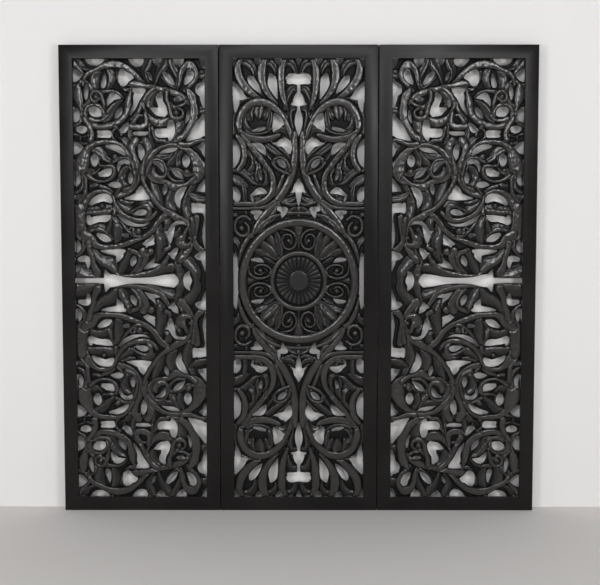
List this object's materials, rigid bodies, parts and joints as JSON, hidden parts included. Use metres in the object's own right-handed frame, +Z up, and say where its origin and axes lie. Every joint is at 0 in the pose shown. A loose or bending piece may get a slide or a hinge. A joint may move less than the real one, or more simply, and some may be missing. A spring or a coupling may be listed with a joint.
{
  "type": "wooden wall panel",
  "caption": "Black painted wall panel of equal framed leaves side by side, filled with pierced scroll-and-leaf carving, the middle leaf with a round fluted medallion.",
  "frame": {"origin": "middle of the centre leaf's top rail, on its back face, where the panel hangs", "axes": "+X to the right across the leaves seen from the front, +Z up, +Y back into the wall, so the carved front faces -Y"},
  "size_m": [1.221, 0.024, 1.2],
  "materials": {
    "frame_paint": "satin black paint on plain moulded wood",
    "carving_paint": "satin black paint on carved wood"
  },
  "bodies": {
    "root": {"left_left_stile": "frame_paint", "left_right_stile": "frame_paint", "left_top_rail": "frame_paint", "left_bottom_rail": "frame_paint", "centre_left_stile": "frame_paint", "centre_right_stile": "frame_paint", "centre_top_rail": "frame_paint", "centre_bottom_rail": "frame_paint", "right_left_stile": "frame_paint", "right_right_stile": "frame_paint", "right_top_rail": "frame_paint", "right_bottom_rail": "frame_paint", "left_upper_carving": "carving_paint", "left_lower_carving": "carving_paint", "right_upper_carving": "carving_paint", "right_lower_carving": "carving_paint", "centre_carving": "carving_paint"}
  },
  "joints": []
}
